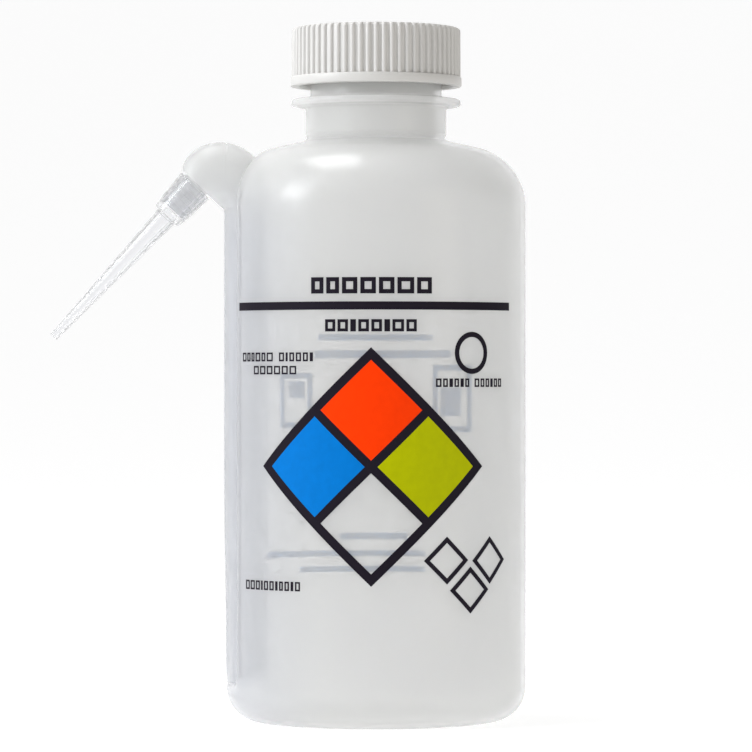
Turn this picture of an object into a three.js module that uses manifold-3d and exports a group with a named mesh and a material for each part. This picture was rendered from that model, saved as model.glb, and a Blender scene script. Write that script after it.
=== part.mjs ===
// Side-channel wash bottle, 500 mL: one soft moulding with its own delivery channel,
// a vented screw cap and a push-on delivery tip.
//
// Units are millimetres and +Z is up. The origin is on the neck axis, on the surface the
// bottle stands on. The delivery tip points towards -X and the printed front faces -Y.

import * as THREE from 'three';
import { mergeVertices } from 'three/addons/utils/BufferGeometryUtils.js';
import Module from 'manifold-3d';

// ---- Driving dimensions ----------------------------------------------------------------

// Main chamber
const BODY_R = 38.0; // outer radius of the round body
const WALL = 1.2; // wall of the main chamber
const FOOT_R = 29.5; // middle of the ring it stands on
const PAD_R = 14.5; // flat pad in the middle of the base
const RECESS = 1.0; // depth of the ring-shaped recess between the pad and the foot ring
const BODY_SEGMENTS = 56;

// Neck
const NECK_R = 17.83; // outer radius below the bead
const FINISH_R = 16.65; // outer radius between the threads
const NECK_BORE_R = 15.0;
const NECK_TOP = 172.2;
const BEAD_R = 21.55;
const BEAD_BOTTOM = 155.2;
const BEAD_TOP = 157.2;

// Screw thread, right-handed, shared by the neck and the cap
const LEAD = 4.23; // rise in one turn: six threads to the inch
const THREAD_R = 18.35; // crest of the neck's thread
const THREAD_START = 161.7; // height of the middle of the neck's thread where it starts
const THREAD_TURNS = 1.5;
const THREAD_ROOT_HALF = 1.3; // half the width of a thread at its root
const THREAD_CREST_HALF = 0.5; // half the width of a thread at its crest
const THREAD_STEPS = 60; // straight pieces in each thread
const THREAD_RUN_OUT = 5; // of those, how many it takes to reach full height

// Delivery channel, a tube moulded in a hollow down the left side of the body
const TUBE_X = -33.4; // axis of the channel
const TUBE_R = 5.1;
const TUBE_BORE_R = 3.7;
const HOLLOW_X = -28.6; // deepest part of the hollow
const HOLLOW_FLOOR = 11.0; // height at which the hollow starts
const HOLLOW_TOP = 150.0;
const WEB_HALF = 1.9; // half the thickness of the web between channel and body
const PORT_Z = 8.8; // lowest point of the channel's bore, where it opens into the chamber

// Elbow, a rounded fan from the top of the channel to the stub
const FAN_X = -39.0; // centre of its round back
const FAN_Z = 132.9;
const FAN_R = 13.3;
const FAN_THICKNESS = 10.2;
const FAN_ROUND = 3.9; // radius of its rim
const FAN_WALL = 1.4;
const FAN_FOOT = 126.0;

// Delivery stub and tip, both along one axis that points down to the left
const TIP_ANGLE = 46.8; // degrees below horizontal
const STUB_X = -45.5; // where the axis leaves the elbow's slanted face
const STUB_Z = 135.6;
const STUB_R = 3.25;
const STUB_BORE_R = 2.2;
const STUB_LENGTH = 8.8;
const RING_HEIGHT = 0.35; // of each retention ring on the stub
const RING_PITCH = 1.5;
const RING_COUNT = 5;
const TIP_GAP = 0.3; // between the tip's collar and the elbow
const COLLAR_R = 4.9;
const COLLAR_NECK_R = 4.45;
const COLLAR_END_R = 3.95;
const COLLAR_NECK = 7.4; // distance from the elbow's face to where the collar narrows
const COLLAR_END = 10.7;
const SOCKET_R = 3.95;
const SOCKET_END_R = 3.85;
const SOCKET_DEPTH = 9.2;
const NOZZLE_R = 2.85;
const NOZZLE_END_R = 1.15;
const NOZZLE_BORE_R = 2.0;
const NOZZLE_END_BORE_R = 0.55;
const TIP_END = 52.9;

// Screw cap
const CAP_BOTTOM = 160.3;
const CAP_TOP = 175.2;
const CAP_CEILING = 173.6;
const CAP_BORE_R = 18.9;
const CAP_THREAD_R = 17.05; // crest of the cap's thread
const CAP_THREAD_START = 163.815; // half a lead above the neck's thread
const FLANGE_R = 21.7;
const FLANGE_TOP = 162.75;
const RIB_R = 21.45;
const RIB_VALLEY_R = 20.9;
const RIB_COUNT = 66;
const CAP_CORNER = 1.1; // rounding of the cap's top edge

// Vent valve, hung under the middle of the cap
const VENT_HOLE_R = 0.8;
const VENT_SEAT_R = 2.3;
const VENT_SEAT_BOTTOM = 173.1;
const BOSS_R = 6.5;
const BOSS_BORE_R = 5.2;
const BOSS_BOTTOM = 168.3;
const BOSS_LIP_R = 4.7;
const BOSS_LIP_TOP = 168.8;
const CAGE_R = 5.0;
const CAGE_BORE_R = 4.55;
const CAGE_BOTTOM = 169.0;
const CAGE_FLOOR = 170.0;
const CAGE_PIP_TOP = 170.5;
const CAGE_TOP = 172.7;
const DISC_R = 4.15;
const DISC_BOTTOM = 170.8;
const DISC_TOP = 171.7;

// Sealing ring between the neck's rim and the cap
const LINER_R = 18.3;
const LINER_BORE_R = 13.6;
const LINER_BOTTOM = 172.5;
const LINER_TOP = 173.3;

// ---- Helpers ---------------------------------------------------------------------------

const wasm = await Module();
wasm.setup();

// A closed three.js geometry as a solid, its faces turned to point out.
function solid(geometry) {
  const bare = geometry.index ? geometry.toNonIndexed() : geometry.clone();
  bare.deleteAttribute('normal');
  bare.deleteAttribute('uv');
  const merged = mergeVertices(bare, 1e-4);
  const vertices = merged.attributes.position.array;
  const index = merged.index.array;
  const faces = [];
  let volume = 0;
  for (let i = 0; i < index.length; i += 3) {
    const [a, b, c] = [index[i], index[i + 1], index[i + 2]];
    if (a === b || b === c || c === a) continue;
    faces.push([a, b, c]);
    const p = new THREE.Vector3().fromArray(vertices, 3 * a);
    const q = new THREE.Vector3().fromArray(vertices, 3 * b);
    const r = new THREE.Vector3().fromArray(vertices, 3 * c);
    volume += p.dot(q.cross(r));
  }
  const turned = volume < 0 ? faces.map(([a, b, c]) => [a, c, b]) : faces;
  const mesh = new wasm.Mesh({
    numProp: 3,
    vertProperties: new Float32Array(vertices),
    triVerts: new Uint32Array(turned.flat()),
  });
  return new wasm.Manifold(mesh);
}

// A solid as a geometry for a mesh.
function geometryOf(body) {
  const mesh = body.getMesh();
  const geometry = new THREE.BufferGeometry();
  const position = new THREE.BufferAttribute(new Float32Array(mesh.vertProperties), 3);
  geometry.setAttribute('position', position);
  geometry.setIndex(new THREE.BufferAttribute(new Uint32Array(mesh.triVerts), 1));
  const flat = geometry.toNonIndexed();
  flat.computeVertexNormals();
  return flat;
}

// [radius, height] points turned about the Z axis.
function turned(points, segments) {
  const profile = points.map(([r, z]) => new THREE.Vector2(r, z));
  return new THREE.LatheGeometry(profile, segments).rotateX(Math.PI / 2);
}

// A disc or, with an inner radius, a ring.
function ring(outer, inner, bottom, top, segments) {
  const profile = [
    [inner, bottom],
    [outer, bottom],
    [outer, top],
    [inner, top],
  ];
  if (inner > 0) profile.push([inner, bottom]);
  return turned(profile, segments);
}

// An outline of [x, y] points raised from one height to another.
function raised(points, bottom, top) {
  const shape = new THREE.Shape(points.map(([x, y]) => new THREE.Vector2(x, y)));
  const geometry = new THREE.ExtrudeGeometry(shape, { depth: top - bottom, bevelEnabled: false });
  return geometry.translate(0, 0, bottom);
}

// An arc about a centre, between two angles in degrees, as points.
function arc(centreX, centreY, radius, from, to, steps) {
  const points = [];
  for (let i = 0; i <= steps; i += 1) {
    const angle = THREE.MathUtils.degToRad(from + ((to - from) * i) / steps);
    points.push([centreX + radius * Math.cos(angle), centreY + radius * Math.sin(angle)]);
  }
  return points;
}

// Moves a geometry built along +Z from the origin onto the delivery axis.
function onTipAxis(geometry) {
  geometry.rotateY(-Math.PI / 2 - THREE.MathUtils.degToRad(TIP_ANGLE));
  return geometry.translate(STUB_X, 0, STUB_Z);
}

// A right-handed thread: a long straight bar with a tapered section, wound round the axis.
// Its root is sunk a little way into the wall it stands on.
function thread(rootR, crestR, start, turns) {
  const sink = Math.sign(rootR - crestR) * 0.4;
  const bar = new THREE.Shape([
    new THREE.Vector2(rootR + sink, -THREAD_ROOT_HALF),
    new THREE.Vector2(crestR, -THREAD_CREST_HALF),
    new THREE.Vector2(crestR, THREAD_CREST_HALF),
    new THREE.Vector2(rootR + sink, THREAD_ROOT_HALF),
  ]);
  const options = { depth: 1, steps: THREAD_STEPS, bevelEnabled: false };
  const geometry = new THREE.ExtrudeGeometry(bar, options);
  const position = geometry.attributes.position;
  for (let i = 0; i < position.count; i += 1) {
    const along = position.getZ(i);
    const fromEnd = Math.min(along, 1 - along) * THREAD_STEPS;
    const height = Math.min(1, fromEnd / THREAD_RUN_OUT);
    const full = position.getX(i);
    const low = rootR + sink * 0.5;
    const isCrest = Math.abs(full - crestR) < 1e-6;
    const r = isCrest ? low + (crestR - low) * height : full;
    const angle = 2 * Math.PI * turns * along;
    const z = start + LEAD * turns * along + position.getY(i);
    position.setXYZ(i, r * Math.cos(angle), r * Math.sin(angle), z);
  }
  return geometry;
}

// ---- Bottle ----------------------------------------------------------------------------

// Outer skin of the chamber and neck.
const bodyProfile = [
  [0, 0],
  [PAD_R, 0],
  [PAD_R + 2, RECESS],
  [FOOT_R - 3, RECESS],
  [FOOT_R - 1.2, 0],
  [FOOT_R + 1.2, 0],
  [33.4, 0.9],
  [35.8, 3.2],
  [37.4, 6.8],
  [BODY_R, 11.5],
  [BODY_R, 129.6],
  [37.6, 132.8],
  [36.4, 136.3],
  [34.1, 139.7],
  [30.6, 142.5],
  [25.8, 144.6],
  [20.2, 146.0],
  [17.4, 147.1],
  [NECK_R, 147.9],
  [NECK_R, BEAD_BOTTOM],
  [BEAD_R - 0.6, BEAD_BOTTOM],
  [BEAD_R, BEAD_BOTTOM + 0.6],
  [BEAD_R, BEAD_TOP - 0.6],
  [BEAD_R - 0.6, BEAD_TOP],
  [FINISH_R, BEAD_TOP],
  [FINISH_R, NECK_TOP - 0.5],
  [FINISH_R - 0.5, NECK_TOP],
  [0, NECK_TOP],
];

// Inner skin, one wall further in.
const chamberProfile = [
  [0, WALL],
  [PAD_R - 0.6, WALL],
  [PAD_R + 1.4, RECESS + WALL],
  [FOOT_R - 2.4, RECESS + WALL],
  [FOOT_R - 0.4, WALL],
  [32.7, 1.9],
  [34.9, 4.1],
  [36.25, 7.3],
  [BODY_R - WALL, 11.5],
  [BODY_R - WALL, 129.4],
  [36.35, 132.5],
  [35.3, 135.7],
  [33.2, 138.7],
  [30.0, 141.3],
  [25.4, 143.4],
  [16.6, 145.7],
  [NECK_BORE_R, 147.0],
  [NECK_BORE_R, NECK_TOP + 1],
  [0, NECK_TOP + 1],
];

// The hollow's outline on one side of the web, from its floor to outside the body. Its lips
// are rounded over in three flats.
function hollowOutline(offset) {
  const side = [
    [HOLLOW_X + offset, 5.6 + offset * 0.5],
    [HOLLOW_X - 0.5 + offset * 0.9, 7.2 + offset * 0.8],
    [-30.5 + offset * 0.78, 9.7 + offset * 0.63],
    [-33.2 + offset * 0.78, 13.0 + offset * 0.63],
    [-34.1 + offset * 0.95, 14.6 + offset * 0.3],
    [-34.5 + offset, 16.3],
    [-34.2 + offset, 18.2],
    [-40, 19.5],
  ];
  const mirrored = side.map(([x, y]) => [x, -y]).reverse();
  return [...side, ...mirrored];
}

const channelAxis = new THREE.Matrix4().makeTranslation(TUBE_X, 0, 0);

const tubeProfile = [
  [0, HOLLOW_FLOOR - 3],
  [TUBE_R - 0.55, HOLLOW_FLOOR - 3],
  [TUBE_R, HOLLOW_FLOOR + 1],
  [TUBE_R, FAN_FOOT + 3],
  [0, FAN_FOOT + 3],
];

// The elbow's side view, drawn past the slanted face that is cut on it afterwards.
const fanOutline = [
  ...arc(FAN_X, FAN_Z, FAN_R, 40, 150, 9),
  [-51.5, 135.5],
  [-42.0, FAN_FOOT],
  [HOLLOW_X + 0.2, FAN_FOOT],
];

function fan(wall) {
  const shape = new THREE.Shape(fanOutline.map(([x, z]) => new THREE.Vector2(x, z)));
  const round = FAN_ROUND - wall;
  const depth = FAN_THICKNESS - 2 * FAN_ROUND;
  const geometry = new THREE.ExtrudeGeometry(shape, {
    depth,
    bevelEnabled: true,
    bevelThickness: round,
    bevelSize: round,
    bevelOffset: -round - wall,
    bevelSegments: 3,
  });
  geometry.translate(0, 0, -depth / 2);
  return geometry.rotateX(Math.PI / 2);
}

// Everything beyond the elbow's slanted face, or beyond a plane that far behind it.
function beyondFace(back) {
  const block = new THREE.BoxGeometry(60, 60, 60).translate(0, 0, 30 - back);
  return onTipAxis(block);
}

const stubProfile = [
  [0, -FAN_WALL - 0.4],
  [STUB_R + 0.1, -FAN_WALL - 0.4],
  [STUB_R + 0.1, 0.6],
];
for (let i = 0; i < RING_COUNT; i += 1) {
  const z = 0.8 + RING_PITCH * i;
  const core = STUB_R - 0.02 * i;
  stubProfile.push([core, z]);
  stubProfile.push([core + RING_HEIGHT, z + 0.3]);
  stubProfile.push([core + RING_HEIGHT, z + 0.65]);
  stubProfile.push([core, z + 1.2]);
}
stubProfile.push([STUB_R - 0.1, STUB_LENGTH - 0.3]);
stubProfile.push([STUB_R - 0.4, STUB_LENGTH]);
stubProfile.push([0, STUB_LENGTH]);

function makeBottle() {
  const hollow = solid(raised(hollowOutline(0), HOLLOW_FLOOR, HOLLOW_TOP));
  const backOfHollow = solid(raised(hollowOutline(WALL), HOLLOW_FLOOR - WALL, HOLLOW_TOP));
  const channel = solid(turned(tubeProfile, 24).applyMatrix4(channelAxis));
  const webBottom = HOLLOW_FLOOR - 0.6;
  const webHeight = FAN_FOOT + 4 - webBottom;
  const webBox = new THREE.BoxGeometry(2.2, 2 * WEB_HALF, webHeight);
  const web = solid(webBox.translate(HOLLOW_X - 0.5, 0, webBottom + webHeight / 2));
  const elbow = solid(fan(0)).subtract(solid(beyondFace(0)));
  const stub = solid(onTipAxis(turned(stubProfile, 24)));
  const neckThread = solid(thread(FINISH_R, THREAD_R, THREAD_START, THREAD_TURNS));

  let body = solid(turned(bodyProfile, BODY_SEGMENTS)).subtract(hollow);
  body = body.add(channel).add(web).add(elbow).add(stub);

  const chamber = solid(turned(chamberProfile, BODY_SEGMENTS)).subtract(backOfHollow);
  const boreTop = FAN_FOOT + 4;
  const boreRing = ring(TUBE_BORE_R, 0, PORT_Z, boreTop, 24).applyMatrix4(channelAxis);
  const elbowSpace = solid(fan(FAN_WALL)).subtract(solid(beyondFace(FAN_WALL)));
  const stubBore = solid(onTipAxis(ring(STUB_BORE_R, 0, -5, STUB_LENGTH + 1, 24)));

  body = body.subtract(chamber).subtract(solid(boreRing));
  body = body.subtract(elbowSpace).subtract(stubBore);
  return body.add(neckThread);
}

// ---- Delivery tip ----------------------------------------------------------------------

const tipProfile = [
  [SOCKET_R, TIP_GAP],
  [COLLAR_R - 0.15, TIP_GAP],
  [COLLAR_R, TIP_GAP + 0.2],
  [COLLAR_NECK_R, COLLAR_NECK],
  [COLLAR_END_R, COLLAR_END],
  [COLLAR_END_R - 0.35, COLLAR_END + 0.25],
  [NOZZLE_R + 0.25, COLLAR_END + 0.25],
  [NOZZLE_R, COLLAR_END + 0.7],
  [NOZZLE_END_R, TIP_END],
  [NOZZLE_END_BORE_R, TIP_END],
  [NOZZLE_BORE_R, SOCKET_DEPTH + 1.5],
  [NOZZLE_BORE_R, SOCKET_DEPTH],
  [SOCKET_END_R, SOCKET_DEPTH],
  [SOCKET_R, TIP_GAP],
];

// ---- Screw cap -------------------------------------------------------------------------

function ribOutline() {
  const points = [];
  const pitch = (2 * Math.PI) / RIB_COUNT;
  for (let i = 0; i < RIB_COUNT; i += 1) {
    const corners = [
      [RIB_R, -0.24],
      [RIB_R, 0.24],
      [RIB_VALLEY_R, 0.34],
      [RIB_VALLEY_R, 0.66],
    ];
    for (const [r, share] of corners) {
      const angle = pitch * (i + share);
      points.push([r * Math.cos(angle), r * Math.sin(angle)]);
    }
  }
  return points;
}

function makeCap() {
  const edge = arc(FLANGE_R - CAP_CORNER, CAP_TOP - CAP_CORNER, CAP_CORNER, 15, 75, 1);
  const envelope = [[0, FLANGE_TOP - 1], [FLANGE_R, FLANGE_TOP - 1], ...edge, [0, CAP_TOP]];
  const ribs = solid(raised(ribOutline(), FLANGE_TOP - 0.5, CAP_TOP));
  const flangeProfile = [
    [0, CAP_BOTTOM],
    [FLANGE_R - 0.3, CAP_BOTTOM],
    [FLANGE_R, CAP_BOTTOM + 0.3],
    [FLANGE_R, FLANGE_TOP - 0.3],
    [FLANGE_R - 0.3, FLANGE_TOP],
    [0, FLANGE_TOP],
  ];
  const inside = [
    [0, CAP_BOTTOM - 1],
    [CAP_BORE_R + 0.4, CAP_BOTTOM - 1],
    [CAP_BORE_R + 0.4, CAP_BOTTOM],
    [CAP_BORE_R, CAP_BOTTOM + 0.6],
    [CAP_BORE_R, CAP_CEILING],
    [0, CAP_CEILING],
  ];
  const boss = [
    [BOSS_BORE_R, CAP_CEILING + 0.5],
    [BOSS_BORE_R, BOSS_LIP_TOP + 0.3],
    [BOSS_LIP_R, BOSS_LIP_TOP],
    [BOSS_LIP_R, BOSS_BOTTOM],
    [BOSS_R, BOSS_BOTTOM],
    [BOSS_R, CAP_CEILING + 0.5],
    [BOSS_BORE_R, CAP_CEILING + 0.5],
  ];
  const seat = ring(VENT_SEAT_R, 0, VENT_SEAT_BOTTOM, CAP_CEILING + 0.5, 24);
  const vent = ring(VENT_HOLE_R, 0, VENT_SEAT_BOTTOM - 1, CAP_TOP + 1, 12);
  const capThread = thread(CAP_BORE_R, CAP_THREAD_R, CAP_THREAD_START, THREAD_TURNS);

  let cap = ribs.intersect(solid(turned(envelope, BODY_SEGMENTS)));
  cap = cap.add(solid(turned(flangeProfile, BODY_SEGMENTS)));
  cap = cap.subtract(solid(turned(inside, BODY_SEGMENTS)));
  cap = cap.add(solid(capThread)).add(solid(turned(boss, 32))).add(solid(seat));
  return cap.subtract(solid(vent));
}

// ---- Vent valve ------------------------------------------------------------------------

// A perforated cup that snaps into the boss and keeps the disc under the vent hole.
function makeCage() {
  const cup = [
    [0, CAGE_BOTTOM],
    [CAGE_R - 0.3, CAGE_BOTTOM],
    [CAGE_R, CAGE_BOTTOM + 0.3],
    [CAGE_R, CAGE_TOP],
    [CAGE_BORE_R, CAGE_TOP],
    [CAGE_BORE_R, CAGE_FLOOR],
    [0, CAGE_FLOOR],
  ];
  let cage = solid(turned(cup, 32));
  for (let i = 0; i < 4; i += 1) {
    const hole = ring(0.9, 0, CAGE_BOTTOM - 1, CAGE_FLOOR + 1, 12);
    hole.translate(2.9, 0, 0).rotateZ((i * Math.PI) / 2);
    cage = cage.subtract(solid(hole));
    const pip = ring(0.5, 0, CAGE_FLOOR - 0.3, CAGE_PIP_TOP, 8);
    pip.translate(2.9, 0, 0).rotateZ(((i + 0.5) * Math.PI) / 2);
    cage = cage.add(solid(pip));
  }
  return cage;
}

// ---- Assembly --------------------------------------------------------------------------

const softPolyethylene = new THREE.MeshStandardMaterial({
  color: 0xdedfdd,
  roughness: 0.42,
  metalness: 0,
});
const whitePolypropylene = new THREE.MeshStandardMaterial({
  color: 0xf2f2f0,
  roughness: 0.38,
  metalness: 0,
});
const clearPolypropylene = new THREE.MeshStandardMaterial({
  color: 0xeef1f3,
  roughness: 0.15,
  metalness: 0,
});
const foamLiner = new THREE.MeshStandardMaterial({
  color: 0xe4e2da,
  roughness: 0.85,
  metalness: 0,
});
const valveSilicone = new THREE.MeshStandardMaterial({
  color: 0xd8d4cc,
  roughness: 0.6,
  metalness: 0,
});
const cagePlastic = new THREE.MeshStandardMaterial({
  color: 0xe9e9e6,
  roughness: 0.45,
  metalness: 0,
});

function piece(name, geometry, material) {
  const mesh = new THREE.Mesh(geometry, material);
  mesh.name = name;
  return mesh;
}

const bottle = new THREE.Group();
bottle.add(piece('bottle_body', geometryOf(makeBottle()), softPolyethylene));

const tipGeometry = geometryOf(solid(turned(tipProfile, 32)));
const tip = piece('delivery_tip', tipGeometry, clearPolypropylene);
tip.position.set(STUB_X, 0, STUB_Z);
tip.rotation.y = -Math.PI / 2 - THREE.MathUtils.degToRad(TIP_ANGLE);
bottle.add(tip);

const closure = new THREE.Group();
closure.add(piece('screw_cap', geometryOf(makeCap()), whitePolypropylene));
const linerGeometry = ring(LINER_R, LINER_BORE_R, LINER_BOTTOM, LINER_TOP, BODY_SEGMENTS);
closure.add(piece('cap_liner', geometryOf(solid(linerGeometry)), foamLiner));
closure.add(piece('vent_cage', geometryOf(makeCage()), cagePlastic));
const discGeometry = ring(DISC_R, 0, DISC_BOTTOM, DISC_TOP, 32);
closure.add(piece('vent_disc', geometryOf(solid(discGeometry)), valveSilicone));
bottle.add(closure);

export default bottle;
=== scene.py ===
"""Wash bottle with a moulded-in side channel: its visible pieces, built round the CAD frame.

Shapes are worked out in millimetres in the frame's own axes (+Z up, the tip towards -X, the
printed front towards -Y) and scaled to metres when each mesh is made.
"""
import math

import bmesh
import bpy
import numpy as np
from mathutils import Matrix, Vector


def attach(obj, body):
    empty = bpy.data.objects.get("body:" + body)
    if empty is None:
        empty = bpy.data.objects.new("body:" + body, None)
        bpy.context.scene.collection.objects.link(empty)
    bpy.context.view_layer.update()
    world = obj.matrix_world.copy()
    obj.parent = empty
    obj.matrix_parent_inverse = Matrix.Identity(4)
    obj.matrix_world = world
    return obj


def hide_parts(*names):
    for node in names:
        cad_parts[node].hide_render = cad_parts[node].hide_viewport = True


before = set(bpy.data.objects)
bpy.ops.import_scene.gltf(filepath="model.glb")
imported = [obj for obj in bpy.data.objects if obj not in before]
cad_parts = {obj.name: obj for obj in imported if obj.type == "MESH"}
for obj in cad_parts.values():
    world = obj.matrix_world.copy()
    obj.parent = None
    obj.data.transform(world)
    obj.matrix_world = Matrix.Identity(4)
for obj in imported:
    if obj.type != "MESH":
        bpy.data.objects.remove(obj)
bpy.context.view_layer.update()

MM = 0.001

# ---- Dimensions, in millimetres --------------------------------------------------------

BODY_R = 37.94  # the print stands on this, up to the CAD's 38 mm
WALL = 1.2
BASE_ROUND = 8.8
SHOULDER_ROUND = 15.4
NECK_R = 17.83
NECK_TOP = 172.2
FINISH_R = 16.65
NECK_BORE_R = 15.0
BEAD_R = 21.5
SLOPE_TOP = 146.4  # height of the shoulder's upper slope where its radius is SLOPE_R
SLOPE_R = 18.9
SLOPE = 0.234

HOLLOW_FLAT = 28.6  # distance from the neck's axis to the bottom of the hollow
HOLLOW_SIDE = 20.8  # and to the planes of its two sides
SIDE_NORMAL = (0.8256, 0.564)  # which way those planes face, along -X and across
HOLLOW_SPREAD = 1.0  # how far round from -X the hollow can reach, in radians
HOLLOW_CORNER = 1.5  # softness of the corners between its bottom and sides
HOLLOW_FLOOR = 11.0
OUTER_LIP = 1.5  # softness of the hollow's edges, outside and inside the wall
INNER_LIP = 0.9

TUBE_X = -33.4
TUBE_R = 5.1
BORE_R = 3.75
PIVOT = Vector((-38.5, 129.2))  # inner corner of the elbow, in X and Z
FACE_ANGLE = 136.8  # direction of the elbow's slanted face from that corner, in degrees
ELBOW_REACH = 17.2  # from that corner to the furthest point of the elbow's back
ELBOW_PEAK = 101  # and the direction of that point, in degrees
SEAM_ANGLE = 88.0  # where the mould's parting line crosses the elbow's back
SEAM_DEPTH = 0.26

TIP_ANGLE = 46.8  # how far below level the tip points, in degrees
STUB = (-45.5, 0.0, 135.6)  # where the stub leaves the elbow's face

LEAD = 4.23  # six threads to the inch
THREAD_TURNS = 1.5

CAP_BOTTOM = 160.3
CAP_TOP = 175.19
RIBS = 66
RIB_DEPTH = 0.68

PRINT_R = (37.9, 37.985)  # inner and outer radius of the ink on the body

# ---- Mesh helpers ----------------------------------------------------------------------


def add_object(name, mesh):
    piece = bpy.data.objects.new(name, mesh)
    bpy.context.scene.collection.objects.link(piece)
    return piece


def from_points(name, points, faces):
    """A mesh object from points in millimetres, its faces turned outwards."""
    mesh = bpy.data.meshes.new(name)
    mesh.from_pydata([tuple(c * MM for c in p) for p in points], [], faces)
    work = bmesh.new()
    work.from_mesh(mesh)
    bmesh.ops.recalc_face_normals(work, faces=work.faces)
    work.to_mesh(mesh)
    work.free()
    return add_object(name, mesh)


def skin(name, rings, start=None, end=None, loop=False):
    """Joins rings of points into one closed surface. start and end are the points its two
    ends close on; with loop, the last ring joins the first instead."""
    count = len(rings[0])
    points = [p for ring in rings for p in ring]
    faces = []
    last = len(rings) if loop else len(rings) - 1
    for i in range(last):
        a, b = i * count, (i + 1) % len(rings) * count
        for j in range(count):
            k = (j + 1) % count
            faces.append((a + j, a + k, b + k, b + j))
    for pole, first in ((start, 0), (end, (len(rings) - 1) * count)):
        if pole is None:
            continue
        points.append(pole)
        for j in range(count):
            faces.append((len(points) - 1, first + j, first + (j + 1) % count))
    return from_points(name, points, faces)


def rounded(corners, step=0.5):
    """A polyline through corners of (x, y, radius), each turned with an arc of that radius."""
    line = []
    for i, (x, y, radius) in enumerate(corners):
        here = Vector((x, y))
        if radius == 0 or i in (0, len(corners) - 1):
            line.append((x, y))
            continue
        back = (Vector(corners[i - 1][:2]) - here).normalized()
        on = (Vector(corners[i + 1][:2]) - here).normalized()
        half = back.angle(on) / 2
        reach = radius / math.tan(half)
        centre = here + (back + on).normalized() * (radius / math.sin(half))
        first, last = here + back * reach - centre, here + on * reach - centre
        turn = math.atan2(first.x * last.y - first.y * last.x, first.dot(last))
        steps = min(16, max(2, math.ceil(abs(turn) * radius / step)))
        for k in range(steps + 1):
            p = centre + Matrix.Rotation(turn * k / steps, 2) @ first
            line.append((p.x, p.y))
    return line


def split_long(line, longest):
    """The same polyline with no piece longer than longest."""
    out = [line[0]]
    for (x0, y0), (x1, y1) in zip(line, line[1:]):
        pieces = max(1, math.ceil(math.hypot(x1 - x0, y1 - y0) / longest))
        for k in range(1, pieces + 1):
            out.append((x0 + (x1 - x0) * k / pieces, y0 + (y1 - y0) * k / pieces))
    return out


def circle(radius, z, count):
    return [
        (radius * math.cos(2 * math.pi * k / count), radius * math.sin(2 * math.pi * k / count), z)
        for k in range(count)
    ]


def revolve(name, line, count, loop=False):
    """Turns a polyline of (radius, height) about the Z axis. Without loop, its first and last
    points are on the axis."""
    if loop:
        return skin(name, [circle(r, z, count) for r, z in line], loop=True)
    rings = [circle(r, z, count) for r, z in line[1:-1]]
    return skin(name, rings, (0, 0, line[0][1]), (0, 0, line[-1][1]))


def combine(base, other, operation):
    """Joins another closed mesh to base, or cuts it away, and removes it."""
    step = base.modifiers.new("combine", "BOOLEAN")
    step.operation = operation
    step.solver = "MANIFOLD"
    step.object = other
    graph = bpy.context.evaluated_depsgraph_get()
    mesh = bpy.data.meshes.new_from_object(base.evaluated_get(graph))
    base.modifiers.clear()
    base.data = mesh
    bpy.data.objects.remove(other)
    return base


def finish_surface(piece, angle=32.0):
    """Smooth shading, with edges over this angle left crisp."""
    work = bmesh.new()
    work.from_mesh(piece.data)
    bmesh.ops.remove_doubles(work, verts=work.verts, dist=2e-6)
    for face in work.faces:
        face.smooth = True
    for edge in work.edges:
        edge.smooth = len(edge.link_faces) == 2 and edge.calc_face_angle(0) < math.radians(angle)
    work.to_mesh(piece.data)
    work.free()


def on_tip_axis(piece):
    """Turns a piece built up +Z from the origin on to the axis of the delivery stub."""
    turn = Matrix.Rotation(-math.pi / 2 - math.radians(TIP_ANGLE), 4, "Y")
    place = Matrix.Translation(Vector(STUB) * MM)
    piece.data.transform(place @ turn)
    return piece


def smooth_step(low, high, value):
    """0 below low, 1 above high, and an S curve between."""
    t = min(1.0, max(0.0, (value - low) / (high - low)))
    return t * t * (3 - 2 * t)


def soft_min(a, b, k):
    """The smaller of two values, blended where they are within k of each other."""
    h = max(k - abs(a - b), 0.0)
    return min(a, b) - h * h / (4 * k)


# ---- Bottle ----------------------------------------------------------------------------


def chamber(name, line, inset, lip, floor):
    """A body of revolution with the hollow for the channel pressed into its -X side. inset is
    how far inside the outer surface it is, lip how softly the hollow's edges turn, and floor
    the height at which the hollow begins."""
    count = 216
    angles = [2 * math.pi * (k + 0.5) / count for k in range(count)]

    def limit(angle):
        off = abs(math.pi - angle)
        if off > HOLLOW_SPREAD:
            return None
        flat = (HOLLOW_FLAT - inset) / math.cos(off)
        slant = SIDE_NORMAL[0] * math.cos(off) - SIDE_NORMAL[1] * math.sin(off)
        side = (HOLLOW_SIDE - inset) / max(slant, 0.05)
        return -soft_min(-flat, -side, HOLLOW_CORNER)

    limits = [limit(a) for a in angles]
    rings = []
    for r, z in line[1:-1]:
        depth = smooth_step(floor - 2.5, floor + 2.0, z)
        ring = []
        for angle, most in zip(angles, limits):
            here = r
            if most is not None and depth > 0:
                here = r + (soft_min(r, most, lip) - r) * depth
            ring.append((here * math.cos(angle), here * math.sin(angle), z))
        rings.append(ring)
    return skin(name, rings, (0, 0, line[0][1]), (0, 0, line[-1][1]))


def shoulder_height(r, drop=0.0):
    """Height of the shoulder's upper slope at a radius."""
    return SLOPE_TOP + (SLOPE_R - r) * SLOPE - drop


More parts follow.
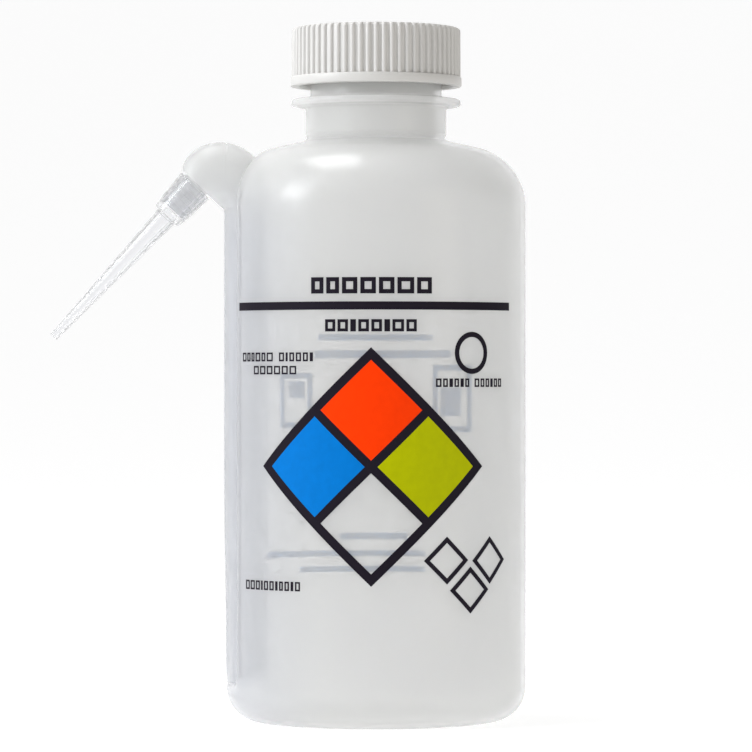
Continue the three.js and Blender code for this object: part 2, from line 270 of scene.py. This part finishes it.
def outer_line():
    """The bottle's outside as corners of (radius, height, rounding), from the base up."""
    corners = [
        (0, 0, 0),
        (14.5, 0, 1.0),
        (16.5, 1.0, 1.0),
        (26.6, 1.0, 1.0),
        (28.2, 0, 0.6),
        (BODY_R, 0, BASE_ROUND),
        (BODY_R, shoulder_height(BODY_R), SHOULDER_ROUND),
        (18.4, shoulder_height(18.4), 0.7),
        (17.3, 147.15, 0.5),
        (NECK_R, 148.2, 0.8),
        (NECK_R, 155.1, 0.8),
        (BEAD_R, 155.35, 0.8),
        (BEAD_R, 157.05, 0.8),
        (FINISH_R, 157.35, 0.8),
        (FINISH_R, NECK_TOP, 0.5),
        (0, NECK_TOP, 0),
    ]
    return with_foot_rows(rounded(corners))


def with_foot_rows(line):
    """Adds close rows up a tall wall where the hollow begins, and wide ones above."""
    close, wide = 0.6, 6
    hollow_whole = 16  # the hollow has its full depth from here up
    out = [line[0]]
    for (r0, z0), (r1, z1) in zip(line, line[1:]):
        if z1 - z0 > 20:
            out += [(r0, z) for z in np.arange(z0 + close, hollow_whole, close)]
            out += [(r0, z) for z in np.arange(max(hollow_whole + 4, z0 + 4), z1 - 2, wide)]
        out.append((r1, z1))
    return split_long(out, wide)


def inner_line():
    """The inside, a wall's thickness in, and on past the neck's rim so that it cuts open."""
    r = BODY_R - WALL
    corners = [
        (0, WALL, 0),
        (13.9, WALL, 1.0),
        (15.9, WALL + 1.0, 1.0),
        (27.2, WALL + 1.0, 1.0),
        (28.8, WALL, 0.6),
        (r, WALL, BASE_ROUND - WALL),
        (r, shoulder_height(r, WALL), SHOULDER_ROUND - WALL),
        (16.2, shoulder_height(16.2, WALL), 1.5),
        (NECK_BORE_R, 147.6, 1.5),
        (NECK_BORE_R, NECK_TOP - 0.6, 0),
        (NECK_BORE_R + 0.6, NECK_TOP, 0),
        (NECK_BORE_R + 0.6, NECK_TOP + 1, 0),
        (0, NECK_TOP + 1, 0),
    ]
    return with_foot_rows(rounded(corners))


def stadium(angle, near, far, half, count=48):
    """One section of the elbow: a round-ended slot in the plane that leaves the inner corner
    at angle degrees above +X, from near to far along it and half thick each way in Y."""
    along = Vector((math.cos(math.radians(angle)), math.sin(math.radians(angle))))
    ring = []
    for k in range(count):
        turn = 2 * math.pi * (k + 0.5) / count
        centre = far - half if math.cos(turn) > 0 else near + half
        d = centre + half * math.cos(turn)
        p = PIVOT + along * d
        ring.append((p.x, half * math.sin(turn), p.y))
    return ring


def elbow_reach(angle):
    """How far the elbow's back is from its inner corner, by the direction in degrees: a cubic
    that leaves the channel, then a flat curve either side of the peak, which turns in more
    tightly just before the slanted face."""
    joins, start_slope, rise, end_slope = 60, 0.6, 5.23, 5.4
    if angle < joins:
        t = angle / joins
        leave = (t**3 - 2 * t**2 + t) * start_slope
        arrive = (t**3 - t**2) * end_slope
        return 2 * TUBE_R + (leave + (3 * t**2 - 2 * t**3) * rise + arrive)
    fall = 0.00105 if angle < ELBOW_PEAK else 0.00175
    reach = ELBOW_REACH - fall * (angle - ELBOW_PEAK) ** 2
    corner_starts = 131
    return reach - 0.01 * max(0.0, angle - corner_starts) ** 2


def from_pivot(angle, distance):
    """A point in X and Z, at a direction in degrees and a distance from the inner corner."""
    turn = math.radians(angle)
    return PIVOT + distance * Vector((math.cos(turn), math.sin(turn)))


def channel_outside():
    """The channel up the side and the elbow, as one closed solid."""
    rings = []
    for z, r in ((8.0, 4.3), (9.5, 4.75), (11.5, 5.0), (13.5, TUBE_R)):
        rings.append(tube_ring(r, z))
    for z in np.linspace(18, 125, 24):
        rings.append(tube_ring(TUBE_R, z))
    angles = [a for a in np.linspace(0, FACE_ANGLE - 1.2, 46) if abs(a - SEAM_ANGLE) > 2.5]
    angles += [SEAM_ANGLE + d for d in (-2.4, -1.3, -0.6, 0.0, 0.6, 1.3, 2.4)]
    for angle in sorted(angles):
        reach = elbow_reach(angle) - SEAM_DEPTH * math.exp(-(((angle - SEAM_ANGLE) / 0.8) ** 2))
        rings.append(stadium(angle, 0.0, reach, TUBE_R))
    edge = 0.3  # the face's edge is broken by this much
    rings.append(stadium(FACE_ANGLE, edge, elbow_reach(FACE_ANGLE) - edge, TUBE_R - edge))
    middle = from_pivot(FACE_ANGLE, 7)
    return skin("channel", rings, (TUBE_X, 0, 8.0), (middle.x, 0, middle.y))


def tube_ring(radius, z):
    """The channel's round section, drawn in a little towards the foot so that it ends flush."""
    ring = stadium(0, TUBE_R - radius, TUBE_R + radius, radius)
    drawn_in = 0.5 * (1 - smooth_step(14, 60, z))
    return [(x + drawn_in, y, z) for x, y, _ in ring]


def channel_inside():
    """The channel's bore. It stops short of the face, where the stub's bore meets it."""
    rings = [tube_ring(BORE_R, z) for z in (8.8, *np.linspace(12, 125, 14))]
    end = FACE_ANGLE - 7
    for angle in np.linspace(0, end, 34):
        near = TUBE_R - BORE_R + 3.6 * smooth_step(85, end, angle)
        rings.append(stadium(angle, near, elbow_reach(angle) - (TUBE_R - BORE_R), BORE_R))
    middle = from_pivot(end, 9)
    return skin("channel_bore", rings, (TUBE_X, 0, 8.8), (middle.x, 0, middle.y))


def web():
    """The pinched web that joins the channel to the body all the way up."""
    side = [(-30.6, 3.9), (-29.7, 2.5), (-29.1, 2.0), (-28.7, 2.3), (-28.2, 3.4), (-27.7, 5.0)]
    outline = side + [(x, -y) for x, y in reversed(side)]
    rings = [[(x, y, z) for x, y in outline] for z in (10.6, 40, 70, 100, 131.5)]
    return skin("web", rings, (-29, 0, 10.6), (-29, 0, 131.5))


def ridge(name, root, crest, start, turns, steps):
    """A right-handed thread with rounded flanks, fading into the wall at both ends."""
    sink = 0.4 if root > crest else -0.4
    rings = []
    for i in range(steps + 1):
        share = i / steps
        ease = min(1.0, min(share, 1 - share) * steps / 10)
        ease = math.sin(ease * math.pi / 2)
        top = root + sink * 0.5 + (crest - root - sink * 0.5) * ease
        angle = 2 * math.pi * turns * share
        z = start + LEAD * turns * share
        section = [
            (root + sink, -1.3),
            (root + (top - root) * 0.45, -0.95),
            (root + (top - root) * 0.85, -0.7),
            (top, -0.4),
            (top, 0.4),
            (root + (top - root) * 0.85, 0.7),
            (root + (top - root) * 0.45, 0.95),
            (root + sink, 1.3),
        ]
        rings.append([(r * math.cos(angle), r * math.sin(angle), z + h) for r, h in section])
    middle = [sum(c) / 8 for c in zip(*rings[0])], [sum(c) / 8 for c in zip(*rings[-1])]
    return skin(name, rings, *middle)


def stub_outside():
    """The stub that the tip is pushed on to, with its sealing rings."""
    rings, pitch = 5, 1.5
    line = [(0, -1.8, 0), (3.6, -1.8, 0), (3.6, 0.4, 0.3), (3.25, 0.6, 0.2)]
    for i in range(rings):
        z = 0.9 + pitch * i
        for radius, up in ((3.25, 0.0), (3.62, 0.3), (3.55, 0.55), (3.22, 1.15)):
            line.append((radius, z + up, 0.1))
    line += [(3.15, 8.8, 0.4), (0, 8.8, 0)]
    return on_tip_axis(revolve("stub", rounded(line, 0.1), 64))


def make_bottle():
    bottle = chamber("bottle_shell", outer_line(), 0.0, OUTER_LIP, HOLLOW_FLOOR)
    combine(bottle, channel_outside(), "UNION")
    combine(bottle, web(), "UNION")
    combine(bottle, stub_outside(), "UNION")
    combine(bottle, ridge("thread", FINISH_R, 18.3, 161.7, THREAD_TURNS, 144), "UNION")
    inside = chamber("inside", inner_line(), WALL, INNER_LIP, HOLLOW_FLOOR - WALL)
    combine(bottle, inside, "DIFFERENCE")
    combine(bottle, channel_inside(), "DIFFERENCE")
    bore = on_tip_axis(revolve("bore", [(0, -5), (2.2, -5), (2.2, 9.8), (0, 9.8)], 48))
    combine(bottle, bore, "DIFFERENCE")
    finish_surface(bottle)
    return bottle


# ---- Delivery tip ----------------------------------------------------------------------


def make_tip():
    """The tip's section, out along the hub and shaft and back along the bore, turned."""
    line = rounded(
        [
            (4.4, 0.3, 0),
            (4.9, 0.3, 0.25),
            (4.45, 7.4, 3.0),
            (3.97, 10.7, 0.5),
            (3.7, 11.05, 0.2),
            (3.05, 11.0, 0.35),
            (2.85, 12.0, 0.8),
            (1.15, 52.9, 0.12),
            (0.58, 52.9, 0.12),
            (2.0, 10.4, 0.6),
            (2.0, 9.3, 0.3),
            (3.6, 9.2, 0.4),
            (3.95, 0.3, 0.2),
            (4.2, 0.3, 0),
        ],
        0.15,
    )
    tip = on_tip_axis(revolve("tip_clear", split_long(line, 2.0), 96, loop=True))
    finish_surface(tip)
    return tip


# ---- Screw cap -------------------------------------------------------------------------


def rib_radius(turn, valley, crest):
    """Radius of the ribbed wall at a turn counted in ribs: round ribs, flat between."""
    across = abs((turn % 1.0) - 0.5) / 0.3
    return valley + (crest - valley) * math.sqrt(max(0.0, 1 - across**2))


def cap_outside():
    per_rib = 16
    count = RIBS * per_rib
    # radius, height, and the share of the ribs' depth there
    rows = [
        (21.3, CAP_BOTTOM, 0.0),
        (21.58, 160.38, 0.0),
        (21.68, 160.6, 0.0),
        (21.68, 162.35, 0.0),
        (21.6, 162.6, 0.0),
        (21.45, 162.72, 0.0),
        (21.42, 162.76, 1.0),
        (21.42, 163.2, 1.0),
        (21.41, 167.0, 1.0),
        (21.39, 171.0, 1.0),
        (21.39, 174.1, 1.0),
        (21.33, 174.5, 1.0),
        (21.15, 174.8, 0.9),
        (20.9, 175.0, 0.7),
        (20.6, 175.13, 0.35),
        (20.25, CAP_TOP, 0.0),
        (15.0, CAP_TOP, 0.0),
    ]
    rings = []
    for r, z, depth in rows:
        ring = []
        for k in range(count):
            angle = 2 * math.pi * k / count
            here = rib_radius(k / per_rib, r - RIB_DEPTH * depth, r)
            ring.append((here * math.cos(angle), here * math.sin(angle), z))
        rings.append(ring)
    return skin("cap_shell", rings, (0, 0, CAP_BOTTOM), (0, 0, CAP_TOP))


def make_cap():
    cap = cap_outside()
    inside = rounded(
        [
            (0, 159.0, 0),
            (19.6, 159.0, 0),
            (19.6, CAP_BOTTOM, 0),
            (18.9, 160.9, 0.3),
            (18.9, 173.6, 0.5),
            (0, 173.6, 0),
        ],
        0.2,
    )
    combine(cap, revolve("cap_space", inside, 192), "DIFFERENCE")
    combine(cap, ridge("cap_thread", 18.9, 17.05, 163.815, THREAD_TURNS, 144), "UNION")
    boss = rounded(
        [
            (5.2, 172.0, 0),
            (5.2, 169.1, 0.3),
            (4.7, 168.8, 0.2),
            (4.7, 168.3, 0.2),
            (6.5, 168.3, 0.4),
            (6.5, 174.1, 0),
            (5.2, 174.1, 0),
        ],
        0.15,
    )
    combine(cap, revolve("boss", boss, 96, loop=True), "UNION")
    seat = rounded([(0, 173.1, 0), (2.3, 173.1, 0.25), (2.3, 174.0, 0), (0, 174.0, 0)], 0.1)
    combine(cap, revolve("seat", seat, 64), "UNION")
    vent = [(0, 172.6), (0.8, 172.6), (0.8, 174.9), (1.15, 175.3), (1.15, 176), (0, 176)]
    combine(cap, revolve("vent", vent, 32), "DIFFERENCE")
    finish_surface(cap)
    return cap


# ---- Print -----------------------------------------------------------------------------


def wrapped(name, outlines, side=-1.0):
    """Ink on the round body. Each outline is a list of (along, height) corners, along the
    surface from its middle line; side is -1 for the front and 1 for the back."""
    work = bmesh.new()
    for outline in outlines:
        work.faces.new([work.verts.new((s, z, 0)) for s, z in outline])
    bmesh.ops.remove_doubles(work, verts=work.verts, dist=1e-4)
    low = min(v.co.x for v in work.verts)
    high = max(v.co.x for v in work.verts)
    strip = 1.2  # width of the flat strips that follow the curve
    for cut in np.arange(math.ceil(low / strip) * strip, high, strip):
        everything = list(work.verts) + list(work.edges) + list(work.faces)
        bmesh.ops.bisect_plane(work, geom=everything, plane_co=(cut, 0, 0), plane_no=(1, 0, 0))
    work.verts.index_update()
    flat = [(v.co.x, v.co.y) for v in work.verts]
    tops = [[v.index for v in f.verts] for f in work.faces]
    rims = [[v.index for v in e.verts] for e in work.edges if len(e.link_faces) == 1]
    work.free()
    points = []
    for radius in reversed(PRINT_R):
        for s, z in flat:
            angle = s / BODY_R
            points.append((radius * math.sin(angle), side * radius * math.cos(angle), z))
    n = len(flat)
    faces = [*tops, *([i + n for i in reversed(f)] for f in tops)]
    faces += [(a, b, b + n, a + n) for a, b in rims]
    piece = from_points(name, points, faces)
    for face in piece.data.polygons:
        face.use_smooth = False
    return piece


def bar(s0, s1, z0, z1):
    """A rectangle, by its start and end along the surface and its bottom and top."""
    return [(s0, z0), (s1, z0), (s1, z1), (s0, z1)]


def blocks(s0, s1, z0, z1, widths, gap, stroke):
    """A row of plain boxes drawn with a stroke between s0 and s1, their widths in proportion.
    One too narrow for an opening is solid, and a negative width is a space."""
    total = sum(abs(w) for w in widths) + gap * (len(widths) - 1)
    unit = (s1 - s0) / total
    out, s = [], s0
    for w in widths:
        if w * unit > 2.5 * stroke:
            e = s + w * unit
            opening = bar(s + stroke, e - stroke, z0 + stroke, z1 - stroke)
            out += frame_of(bar(s, e, z0, z1), opening)
        elif w > 0:
            out.append(bar(s, s + w * unit, z0, z1))
        s += (abs(w) + gap) * unit
    return out


def diamond(s, z, half_s, half_z):
    return [(s - half_s, z), (s, z - half_z), (s + half_s, z), (s, z + half_z)]


def frame_of(outer, inner):
    """The band between two outlines with the same number of corners."""
    n = len(outer)
    return [[outer[i], outer[(i + 1) % n], inner[(i + 1) % n], inner[i]] for i in range(n)]


def ring_of(s, z, half_s, half_z, width, count=40):
    def oval(inset):
        a, b = half_s - inset, half_z - inset
        turns = [2 * math.pi * k / count for k in range(count)]
        return [(s + a * math.cos(t), z + b * math.sin(t)) for t in turns]

    return frame_of(oval(0), oval(width))


BIG = (-1.2, 64.85, 30.1, 29.3)  # middle and half diagonals of the large diamond
BAND = 2.2  # width of its black border


def large_diamond():
    """The border, and the four fields by the name of what fills them."""
    s, z, a, b = BIG
    inset = BAND / math.sin(math.atan2(b, a))
    band_a, band_b = inset, inset * b / a
    quarter_a = (a - band_a - band_a / 2) / 2
    quarter_b = (b - band_b - band_b / 2) / 2
    fields = {}
    for name, ds, dz in (("orange", 0, 1), ("blue", -1, 0), ("yellow", 1, 0), ("clear", 0, -1)):
        centre_s = s + ds * (quarter_a + band_a / 2)
        centre_z = z + dz * (quarter_b + band_b / 2)
        fields[name] = diamond(centre_s, centre_z, quarter_a, quarter_b)
    border = frame_of(diamond(s, z, a, b), diamond(s, z, a - band_a, b - band_b))
    return border, fields


# Rows of boxes in place of text: start and end along the surface, bottom, top, and the
# boxes' widths in proportion, then the gap between two and the stroke they are drawn with.
TITLE = (-16.4, 14.0, 107.3, 111.3, [3.6, 3.6, 4.2, 4.2, 4.2, 4.6, 4.2], 0.8, 1.05)
SUBTITLE = (-12.7, 10.1, 98.0, 101.0, [3, 3, 1.6, 3, 3, 1.6, 3.3, 3], 0.65, 0.75)
NOTE_WIDTHS = [2, 1.6, 1.4, 2.1, 1.6, 2.4, -1.2, 1.8, 0.7, 1.6, 1.7, 1.6, 1.0]
NOTE = (-40.2, -15.9, 90.7, 92.9, NOTE_WIDTHS, 0.6, 0.42)
NOTE_END = (-35.0, -20.6, 87.5, 89.6, [2, 2, 2, 2, 1.9, 2], 0.55, 0.42)
CAPTION_WIDTHS = [1.8, 1.6, 1.2, 1.6, 1.2, 1.5, -1.0, 1.9, 1.6, 1.6, 1.1, 1.6, 1.6]
CAPTION = (15.1, 36.3, 84.4, 86.5, CAPTION_WIDTHS, 0.55, 0.42)
FOOTER_WIDTHS = [2, 2, 1.8, 0.7, 1.7, 1.7, 0.9, 1.4, 1.6, 0.9, 1.7]
FOOTER = (-38.6, -19.5, 34.2, 36.5, FOOTER_WIDTHS, 0.6, 0.42)

RULE = (-42.2, 40.2, 103.35, 105.35)
RING = (25.5, 92.8, 5.2, 5.2, 1.3)
SMALL_DIAMONDS = ((18.1, 41.8, 6.2, 5.9), (31.6, 41.6, 6.0, 5.9), (25.0, 34.4, 6.1, 5.8))


def crossing(fields):
    """The border's two crossing bands, which lie between neighbouring fields."""
    north, south = fields["orange"], fields["clear"]
    west, east = fields["blue"], fields["yellow"]
    return [
        [west[3], north[0], north[1], west[2]],
        [west[2], south[3], south[0], west[1]],
        [east[0], north[1], north[2], east[3]],
        [east[0], east[1], south[2], south[3]],
        [west[2], north[1], east[0], south[3]],
    ]


def front_print(border, fields):
    """Everything that is printed in black on the front."""
    black = border + crossing(fields)
    black.append(bar(*RULE))
    for row in (TITLE, SUBTITLE, NOTE, NOTE_END):
        black += blocks(*row)
    black += ring_of(*RING)
    black += blocks(*CAPTION)
    black += blocks(*FOOTER)
    for s, z, a, b in SMALL_DIAMONDS:
        black += frame_of(diamond(s, z, a, b), diamond(s, z, a - 1.6, b - 1.55))
    return black


def back_print():
    """Bars and framed squares where the back's print shows through the bottle."""
    upper = [bar(-15.6, 15.3, 96.4, 98.0), bar(-16.7, 20.6, 91.8, 93.8)]
    left = frame_of(bar(-27.2, -17.3, 73.6, 87.9), bar(-25.8, -18.7, 75.0, 86.5))
    right = frame_of(bar(15.3, 27.2, 72.5, 90.0), bar(16.8, 25.7, 74.0, 88.5))
    solid = [bar(-24.4, -19.6, 81.4, 85.7), bar(17.6, 23.6, 76.6, 84.1)]
    lower = [bar(-9.5, 8.2, 44.3, 46.0), bar(-31.9, 13.1, 39.9, 41.4)]
    lower.append(bar(-20.9, 13.1, 35.8, 37.3))
    return upper + left + right + solid + lower


def make_prints():
    border, fields = large_diamond()
    made = {"print_black": wrapped("print_black", front_print(border, fields))}
    for name in ("orange", "blue", "yellow"):
        made["print_" + name] = wrapped("print_" + name, [fields[name]])
    made["print_back"] = wrapped("print_back", back_print(), side=1.0)
    return made


# ---- Materials -------------------------------------------------------------------------


def material(name, colour, roughness, **sockets):
    """A Principled material. Other sockets are given by name, with _ for a space."""
    m = bpy.data.materials.new(name)
    m.use_nodes = True
    shader = m.node_tree.nodes["Principled BSDF"]
    shader.inputs["Base Color"].default_value = (*colour, 1.0)
    shader.inputs["Roughness"].default_value = roughness
    for socket, value in sockets.items():
        shader.inputs[socket.replace("_", " ")].default_value = value
    return m


def add_variation(m, colour, spread, scale, rough, rough_spread, bump, bump_scale, stretch=1.0):
    """Varies a material by noise: its colour, as a share either way, and its roughness at one
    scale, and fine bumps, their height in metres, at another. stretch draws the bumps out up
    the piece, as flow marks are."""
    tree = m.node_tree
    shader = tree.nodes["Principled BSDF"]
    place = tree.nodes.new("ShaderNodeTexCoord")
    broad = tree.nodes.new("ShaderNodeTexNoise")
    broad.inputs["Scale"].default_value = scale
    broad.inputs["Detail"].default_value = 3.0
    tree.links.new(place.outputs["Object"], broad.inputs["Vector"])
    ramp = tree.nodes.new("ShaderNodeValToRGB")
    ramp.color_ramp.elements[0].position = 0.3
    ramp.color_ramp.elements[1].position = 0.7
    ramp.color_ramp.elements[0].color = (*[c * (1 - spread) for c in colour], 1)
    ramp.color_ramp.elements[1].color = (*[min(1, c * (1 + spread)) for c in colour], 1)
    tree.links.new(broad.outputs["Fac"], ramp.inputs["Fac"])
    tree.links.new(ramp.outputs["Color"], shader.inputs["Base Color"])
    gloss = tree.nodes.new("ShaderNodeMapRange")
    gloss.inputs["To Min"].default_value = rough - rough_spread
    gloss.inputs["To Max"].default_value = rough + rough_spread
    tree.links.new(broad.outputs["Fac"], gloss.inputs["Value"])
    tree.links.new(gloss.outputs["Result"], shader.inputs["Roughness"])
    size = tree.nodes.new("ShaderNodeMapping")
    size.inputs["Scale"].default_value = (1, 1, 1 / stretch)
    tree.links.new(place.outputs["Object"], size.inputs["Vector"])
    fine = tree.nodes.new("ShaderNodeTexNoise")
    fine.inputs["Scale"].default_value = bump_scale
    fine.inputs["Detail"].default_value = 4.0
    tree.links.new(size.outputs["Vector"], fine.inputs["Vector"])
    relief = tree.nodes.new("ShaderNodeBump")
    relief.inputs["Strength"].default_value = 1.0
    relief.inputs["Distance"].default_value = bump
    tree.links.new(fine.outputs["Fac"], relief.inputs["Height"])
    tree.links.new(relief.outputs["Normal"], shader.inputs["Normal"])
    return m


def add_painted_left_shade(m, painted_shade, full, none, below, above):
    """Painted shade: makes the left side and channel darker and bluer, in place of the shade that
    light through their thin wall gives. full and none are where along X the painted shade is whole
    and gone, in metres, and below and above are the same up the bottle."""
    tree = m.node_tree
    shader = tree.nodes["Principled BSDF"]
    colour = shader.inputs["Base Color"].links[0].from_socket
    place = tree.nodes.new("ShaderNodeTexCoord")
    split = tree.nodes.new("ShaderNodeSeparateXYZ")
    tree.links.new(place.outputs["Object"], split.inputs["Vector"])
    both = tree.nodes.new("ShaderNodeMath")
    both.operation = "MULTIPLY"
    for slot, axis, whole, gone in ((0, "X", full, none), (1, "Z", below, above)):
        fade = tree.nodes.new("ShaderNodeMapRange")
        fade.interpolation_type = "SMOOTHSTEP"
        fade.inputs["From Min"].default_value = whole
        fade.inputs["From Max"].default_value = gone
        fade.inputs["To Min"].default_value = 1.0
        fade.inputs["To Max"].default_value = 0.0
        tree.links.new(split.outputs[axis], fade.inputs["Value"])
        tree.links.new(fade.outputs["Result"], both.inputs[slot])
    # painted shade: a darker, bluer colour multiplied into the base colour on the left side and
    # channel
    blend = tree.nodes.new("ShaderNodeMixRGB")
    blend.blend_type = "MULTIPLY"
    blend.inputs["Color2"].default_value = (*painted_shade, 1.0)
    tree.links.new(both.outputs["Value"], blend.inputs["Fac"])
    tree.links.new(colour, blend.inputs["Color1"])
    tree.links.new(blend.outputs["Color"], shader.inputs["Base Color"])


MILKY = (0.765, 0.768, 0.748)
milky = material(
    "milky_polyethylene",
    MILKY,
    0.19,
    Alpha=0.45,
    IOR=1.51,
    Subsurface_Weight=1.0,
    Subsurface_Scale=0.02,
    Subsurface_Radius=(1.0, 1.0, 1.0),
)
add_variation(milky, MILKY, 0.015, 30, 0.19, 0.03, 1.5e-5, 260, stretch=3.0)
# painted shade: the left side and channel are coloured darker and bluer
add_painted_left_shade(milky, (0.79, 0.81, 0.9), -0.037, -0.01, 0.12, 0.145)
CLEAR = (0.91, 0.915, 0.93)
clear = material("clear_polypropylene", CLEAR, 0.12, Transmission_Weight=1.0, IOR=1.49, Alpha=0.6)
add_variation(clear, CLEAR, 0.01, 60, 0.12, 0.02, 1e-6, 300, stretch=3.0)
WHITE = (0.63, 0.62, 0.6)
white = material("white_polypropylene", WHITE, 0.4, IOR=1.49)
add_variation(white, WHITE, 0.02, 80, 0.4, 0.05, 2e-5, 1500)
FOAM = (0.78, 0.77, 0.73)
foam = material("liner_foam", FOAM, 0.85)
add_variation(foam, FOAM, 0.05, 300, 0.85, 0.08, 6e-5, 3000)
NATURAL = (0.8, 0.8, 0.78)
natural = material("cage_plastic", NATURAL, 0.45)
add_variation(natural, NATURAL, 0.02, 200, 0.45, 0.05, 2e-5, 1500)
SILICONE = (0.72, 0.7, 0.66)
silicone = material("valve_silicone", SILICONE, 0.6)
add_variation(silicone, SILICONE, 0.03, 200, 0.6, 0.06, 2e-5, 2000)


def ink(name, colour):
    """Matt screen ink with a slightly uneven coat."""
    m = material("ink_" + name, colour, 0.5, Specular_IOR_Level=0.05)
    return add_variation(m, colour, 0.04, 500, 0.5, 0.06, 1e-5, 3000)


INKS = {
    "print_black": ink("black", (0.014, 0.011, 0.018)),
    "print_orange": ink("orange", (1.0, 0.045, 0.0)),
    "print_blue": ink("blue", (0.0, 0.18, 0.6)),
    "print_yellow": ink("yellow", (0.44, 0.475, 0.0)),
    "print_back": ink("back", (0.04, 0.35, 0.85)),
}


def wear(piece, m):
    """Gives a piece one material."""
    piece.data.materials.clear()
    piece.data.materials.append(m)


# ---- Pieces ----------------------------------------------------------------------------

bottle = make_bottle()
wear(bottle, milky)
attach(bottle, "bottle")
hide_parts("bottle_body")

tip = make_tip()
wear(tip, clear)
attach(tip, "tip")
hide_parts("delivery_tip")

cap = make_cap()
wear(cap, white)
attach(cap, "cap")
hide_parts("screw_cap")

for name, piece in make_prints().items():
    wear(piece, INKS[name])
    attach(piece, "bottle")

for node, m in (("cap_liner", foam), ("vent_cage", natural), ("vent_disc", silicone)):
    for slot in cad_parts[node].material_slots:
        slot.material = m

# ---- Floor, light and camera -----------------------------------------------------------


def backdrop():
    """A pale floor that curves up into a back wall, in metres."""
    front, bend, radius, top, half_width = -2.0, 1.6, 1.0, 4.0, 3.0
    line = [(front, 0.0)]
    for t in np.linspace(0, math.pi / 2, 24):
        line.append((bend + radius * math.sin(t), radius - radius * math.cos(t)))
    line.append((bend + radius, top))
    points = [(x, y, z) for y, z in line for x in (-half_width, half_width)]
    faces = [(2 * i, 2 * i + 1, 2 * i + 3, 2 * i + 2) for i in range(len(line) - 1)]
    mesh = bpy.data.meshes.new("floor")
    mesh.from_pydata(points, [], faces)
    for face in mesh.polygons:
        face.use_smooth = True
    piece = add_object("floor", mesh)
    m = bpy.data.materials.new("floor_white")
    m.use_nodes = True
    shader = m.node_tree.nodes["Principled BSDF"]
    shader.inputs["Base Color"].default_value = (0.45, 0.45, 0.45, 1)
    shader.inputs["Roughness"].default_value = 0.9
    shader.inputs["Specular IOR Level"].default_value = 0.1
    shader.inputs["Emission Color"].default_value = (1, 1, 1, 1)
    shader.inputs["Emission Strength"].default_value = 0.73
    wear(piece, m)


def area_light(name, place, target, width, height, power, colour=(1.0, 1.0, 1.0)):
    """A rectangular lamp, in metres and watts, aimed at the target."""
    lamp = bpy.data.lights.new(name, "AREA")
    lamp.shape = "RECTANGLE"
    lamp.size = width
    lamp.size_y = height
    lamp.energy = power
    lamp.color = colour
    holder = bpy.data.objects.new(name, lamp)
    bpy.context.scene.collection.objects.link(holder)
    holder.location = place
    aim = Vector(target) - Vector(place)
    holder.rotation_euler = aim.to_track_quat("-Z", "Y").to_euler()


def studio_world(left, right):
    """Soft light from all round, of one strength on the left and another on the right. Past
    the floor's edge the camera sees plain white."""
    world = bpy.data.worlds.new("studio")
    world.use_nodes = True
    nodes, links = world.node_tree.nodes, world.node_tree.links
    nodes["Background"].inputs["Color"].default_value = (1, 1, 1, 1)
    aim = nodes.new("ShaderNodeTexCoord")
    parts = nodes.new("ShaderNodeSeparateXYZ")
    level = nodes.new("ShaderNodeMapRange")
    level.inputs["From Min"].default_value = -1.0
    level.inputs["To Min"].default_value = left
    level.inputs["To Max"].default_value = right
    seen = nodes.new("ShaderNodeLightPath")
    strength = nodes.new("ShaderNodeMath")
    strength.operation = "MAXIMUM"
    links.new(aim.outputs["Generated"], parts.inputs["Vector"])
    links.new(parts.outputs["X"], level.inputs["Value"])
    links.new(level.outputs["Result"], strength.inputs[0])
    links.new(seen.outputs["Is Camera Ray"], strength.inputs[1])
    links.new(strength.outputs["Value"], nodes["Background"].inputs["Strength"])
    bpy.context.scene.world = world


def make_camera(distance, height, lens):
    """A level camera in front of the printed side."""
    data = bpy.data.cameras.new("camera")
    data.sensor_width = 36.0
    data.lens = lens
    data.clip_end = 50
    camera = bpy.data.objects.new("camera", data)
    bpy.context.scene.collection.objects.link(camera)
    camera.location = (0.0, -distance, height)
    camera.rotation_euler = (math.pi / 2, 0.0, 0.0)
    bpy.context.scene.camera = camera


backdrop()
area_light("key", (-0.68, -0.32, 0.42), (0, 0, 0.14), 0.35, 0.5, 2.6, (0.9, 0.94, 1.0))
area_light("right", (0.34, -0.3, 0.17), (0, 0, 0.12), 0.25, 0.35, 0.36, (1.0, 0.94, 0.85))
area_light("cap_side", (-0.22, -0.1, 0.21), (0, 0, 0.168), 0.08, 0.08, 0.1)
area_light("top", (-0.27, 0.0, 0.95), (0, 0, 0.14), 0.5, 0.33, 4.6)
studio_world(left=0.56, right=0.12)
bpy.context.scene.view_settings.view_transform = "Standard"
make_camera(distance=1.07, height=87.1 * MM, lens=202.2)
